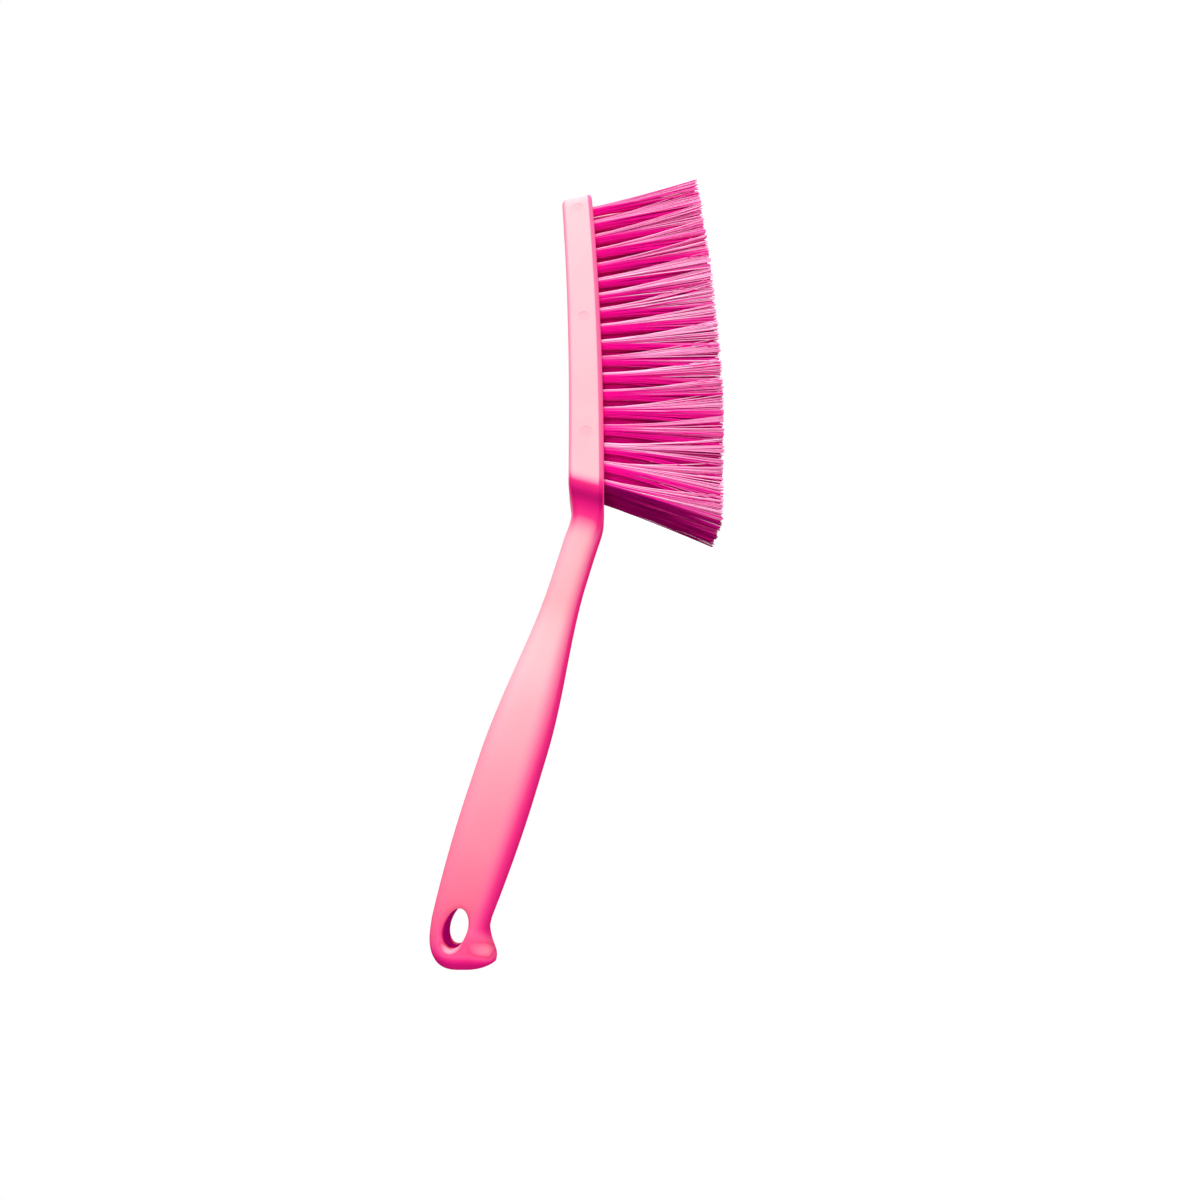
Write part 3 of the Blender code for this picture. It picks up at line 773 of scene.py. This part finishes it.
# moulded polypropylene, pink through and through: a matt satin skin from the eroded steel of the mould.
# It is a little translucent, but its light and shade are painted into the colour: pale where the light
# falls straight on it, hot pink where shade falls in the turns, and deeper towards the hook, away from
# the light. There is no gloss, which would only mirror the white studio
polypropylene = {
    # pale tones by mm along X as the brush rests: painted light, palest at the head, which faces the
    # light, and deeper towards the hook
    "stops": ((-172.6, "#E82E72"), (-163.0, "#FC4881"), (-150.0, "#FD6F90"), (-131.0, "#FE88A0"),
              (-113.0, "#FE96A8"), (-92.0, "#FEA9B5"), (-72.0, "#FFB9C0"), (-55.0, "#FEBBC0"),
              (-44.0, "#FEACB3"), (-25.0, "#FEB1BA"), (8.0, "#FDBDC5"), (45.0, "#FDBAC3"),
              (95.0, "#FDBDC6"), (172.6, "#FEC4CA")),
    # deeper colours of painted shade, down to the dark magenta painted inside the hole
    "hot": ((0.0, "#FF80B2"), (0.30, "#FF589C"), (0.55, "#FF348A"), (0.80, "#E81A7E"),
            (0.93, "#A80C60"), (1.0, "#DC00B4")),
    "hotBy": 0.5,  # painted shade depth at which none of the pale colour is left
    # painted highlight on the edges that catch the light
    "lit": "#FFA4B8", "litBy": -0.5,  # and at which the edge that catches the light is full
    "roughness": (0.62, 0.72), "ior": 1.49, "specular": 0.0,
    "subsurface": 0.10, "scatter": (1.2, 0.9, 1.0),
    "satinSize": 0.7, "satinDetail": 2.0, "satinHeight": 0.012,  # coarser than the real 0.05 mm
    "flowSize": 26.0, "flowDetail": 3.0, "flowFrom": (0.45, 0.75), "flowShare": 0.10,
    "flowTint": "#F4B9C6",  # faint clouds where the pigment is denser
}


def mouldedPolypropylene():
    material, tree = newMaterial("moulded_polypropylene")
    out = addNode(tree, "ShaderNodeOutputMaterial")
    where = addNode(tree, "ShaderNodeTexCoord").outputs["Object"]
    x = addNode(tree, "ShaderNodeSeparateXYZ", None, {"Vector": where}).outputs["X"]
    # paler towards the head: painted light along the length
    low, high = polypropylene["stops"][0][0], polypropylene["stops"][-1][0]
    pale = rampTint(tree, mapRange(tree, x, low * mm, high * mm),
                    [((at - low) / (high - low), tint) for at, tint in polypropylene["stops"]])
    # painted shade and highlights that the mesh carries per point
    depth = attribute(tree, "painted_shade")
    hot = rampTint(tree, depth, polypropylene["hot"])
    hotShare = mapRange(tree, depth, fromHigh=polypropylene["hotBy"])
    litShare = mapRange(tree, depth, fromHigh=polypropylene["litBy"])
    withPaintedShade = mixTints(tree, hotShare, pale, hot)
    lit = mixTints(tree, litShare, withPaintedShade, colour(polypropylene["lit"]))
    flow = noise(tree, where, polypropylene["flowSize"], polypropylene["flowDetail"])
    flowShare = mapRange(tree, flow, *polypropylene["flowFrom"], toHigh=polypropylene["flowShare"])
    marbled = mixTints(tree, flowShare, lit, colour(polypropylene["flowTint"]), "MULTIPLY")
    satin = noise(tree, where, polypropylene["satinSize"], polypropylene["satinDetail"])
    smoother, rougher = polypropylene["roughness"]
    bump = addNode(tree, "ShaderNodeBump", None,
                   {"Height": satin, "Distance": polypropylene["satinHeight"] * mm, "Strength": 1.0})
    shader = addNode(tree, "ShaderNodeBsdfPrincipled", {"subsurface_method": "RANDOM_WALK"},
                     {"Base Color": marbled, "Normal": bump.outputs["Normal"],
                      "Roughness": mapRange(tree, satin, toLow=smoother, toHigh=rougher),
                      "IOR": polypropylene["ior"], "Specular IOR Level": polypropylene["specular"],
                      "Subsurface Weight": polypropylene["subsurface"],
                      "Subsurface Radius": polypropylene["scatter"], "Subsurface Scale": mm})
    tree.links.new(shader.outputs["BSDF"], out.inputs["Surface"])
    return material


# extruded polyester (PBT) filament: smooth and a little translucent. Light and shade are painted into
# its tones: pale where the light reaches it, hot pink where shade falls inside the tuft, and painted
# glints, nearly white, where a single strand catches the light. The tones stand for its gloss too,
# which is almost left out here as it would mirror the white studio
polyester = {
    # from painted shade through painted light to painted glints
    "tones": ((0.0, "#980060"), (0.14, "#FF10AE"), (0.30, "#FF58C6"), (0.50, "#FF84CE"),
              (0.75, "#FFAEDC"), (1.0, "#FFF2FF")),
    "roughness": 0.45, "diffuseRoughness": 1.0, "ior": 1.57, "specular": 0.02,
}


def extrudedPolyester():
    material, tree = newMaterial("extruded_polyester_filament")
    out = addNode(tree, "ShaderNodeOutputMaterial")
    tint = rampTint(tree, attribute(tree, "toneAndLight"), polyester["tones"])
    shader = addNode(tree, "ShaderNodeBsdfPrincipled", None,
                     {"Base Color": tint, "Roughness": polyester["roughness"],
                      "Diffuse Roughness": polyester["diffuseRoughness"],
                      "IOR": polyester["ior"], "Specular IOR Level": polyester["specular"]})
    tree.links.new(shader.outputs["BSDF"], out.inputs["Surface"])
    return material


def dress(thing, material, slot, *nodes):
    thing.data.materials.clear()
    thing.data.materials.append(material)
    thing.data.shade_smooth()
    thing.data.set_sharp_from_angle(angle=skinMesh["sharpAngle"])
    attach(thing, "root")
    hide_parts(*nodes)


# close to the brush and rolled a quarter turn, so that the head points up in the picture
camera = {
    "lens": 19.26, "sensor": 36.0, "clipStart": 0.01,
    "spot": (-126.2, -237.0, 1.6), "heading": math.radians(18.7),  # in the brush's own millimetres
}


def addCamera(toRest):
    data = bpy.data.cameras.new("camera")
    data.lens = camera["lens"]
    data.sensor_width = camera["sensor"]
    data.clip_start = camera["clipStart"]
    thing = bpy.data.objects.new("camera", data)
    tilt = toRest.to_3x3().normalized()
    ahead = tilt @ Vector((math.sin(camera["heading"]), math.cos(camera["heading"]), 0.0))
    upwards = tilt @ Vector((math.cos(camera["heading"]), -math.sin(camera["heading"]), 0.0))
    turn = Matrix((ahead.cross(upwards), upwards, -ahead)).transposed()
    thing.matrix_world = Matrix.Translation(toRest @ Vector(camera["spot"])) @ turn.to_4x4()
    bpy.context.scene.collection.objects.link(thing)
    bpy.context.scene.camera = thing


# square soft lamps: the key beyond the free end, one in front of the brush and one behind it
lamps = {
    "key": {"spot": (1.60, -0.45, 0.55), "aim": (0.0, 0.0, 0.05), "size": 0.60, "power": 28.0},
    "front": {"spot": (-0.30, -1.40, 0.20), "aim": (0.0, 0.0, 0.05), "size": 0.9, "power": 13.2},
    "back": {"spot": (0.20, 1.35, 0.40), "aim": (0.0, 0.0, 0.05), "size": 0.9, "power": 13.0},
}


def addLamps():
    for name, lamp in lamps.items():
        data = bpy.data.lights.new(name, "AREA")
        data.size = lamp["size"]
        data.energy = lamp["power"]
        thing = bpy.data.objects.new(name, data)
        thing.location = lamp["spot"]
        towards = Vector(lamp["aim"]) - Vector(lamp["spot"])
        thing.rotation_euler = towards.to_track_quat("-Z", "Y").to_euler()
        bpy.context.scene.collection.objects.link(thing)


# 1 where a ray comes from the camera or from a glossy surface, and 0 where it only brings light
def seenDirectly(tree):
    light = addNode(tree, "ShaderNodeLightPath")
    return addNode(tree, "ShaderNodeMath", {"operation": "MAXIMUM"},
                   {0: light.outputs["Is Camera Ray"], 1: light.outputs["Is Glossy Ray"]}).outputs[0]


surroundings = {
    "sky": "#FFFFFF", "skyLight": 0.34,  # how much of the white that the camera sees lights the brush
    "floorSize": 4.0, "floorPaint": "#FAFAFA", "floorGlow": 0.985, "floorShade": 0.15,
}


def addWorld():
    world = bpy.data.worlds.new("studio")
    world.use_nodes = True
    tree = world.node_tree
    tree.nodes.clear()
    out = addNode(tree, "ShaderNodeOutputWorld")
    strength = mapRange(tree, seenDirectly(tree), toLow=surroundings["skyLight"])
    sky = addNode(tree, "ShaderNodeBackground", None,
                  {"Color": colour(surroundings["sky"]), "Strength": strength})
    tree.links.new(sky.outputs["Background"], out.inputs["Surface"])
    bpy.context.scene.world = world


# pale floor that is white to the camera but for the brush's own shadow
def addFloor():
    bm = bmesh.new()
    bmesh.ops.create_grid(bm, x_segments=1, y_segments=1, size=surroundings["floorSize"] / 2)
    floor = objectFrom(bm, "studio_floor")
    material, tree = newMaterial("studio_floor_paint")
    out = addNode(tree, "ShaderNodeOutputMaterial")
    paint = addNode(tree, "ShaderNodeBsdfDiffuse", None, {"Color": colour(surroundings["floorPaint"])})
    faint = addNode(tree, "ShaderNodeBsdfDiffuse", None,
                    {"Color": [surroundings["floorShade"]] * 3 + [1.0]})
    glow = addNode(tree, "ShaderNodeEmission", None, {"Strength": surroundings["floorGlow"]})
    shown = addNode(tree, "ShaderNodeAddShader", None, {0: faint.outputs[0], 1: glow.outputs[0]})
    mixed = addNode(tree, "ShaderNodeMixShader", None,
                    {0: seenDirectly(tree), 1: paint.outputs[0], 2: shown.outputs[0]})
    tree.links.new(mixed.outputs[0], out.inputs["Surface"])
    floor.data.materials.append(material)


moulding = mouldingSkin()
print("moulding skin:", len(moulding.data.vertices), "vertices")
toRest = restMatrix(moulding)
skin = uncutSkin(moulding)
for cutter in (drills(), pinStamps(), hangHolePunch()):
    cut(moulding, cutter)
roundHangHole(moulding)
markPaintedShade(moulding, skin)
moulding.data.transform(toRest)
dress(moulding, mouldedPolypropylene(), "handle", "handle_block")
print("moulding finished:", len(moulding.data.polygons), "faces")

filamentMaterial = extrudedPolyester()
straight = straightFilament()
for name, x, row in tuftPlaces():
    chance = random.Random(f"{name} {tuft['seed']}")
    thing = filamentTuft(name + "_filaments", x, row, straight, toRest, chance)
    dress(thing, filamentMaterial, "filament", name)
bpy.data.meshes.remove(straight)
print("tufts finished:", len(tuftPlaces()))

addCamera(toRest)
addLamps()
addWorld()
addFloor()
bpy.context.scene.view_settings.view_transform = "Standard"
print("studio finished:", len(lamps), "lamps")
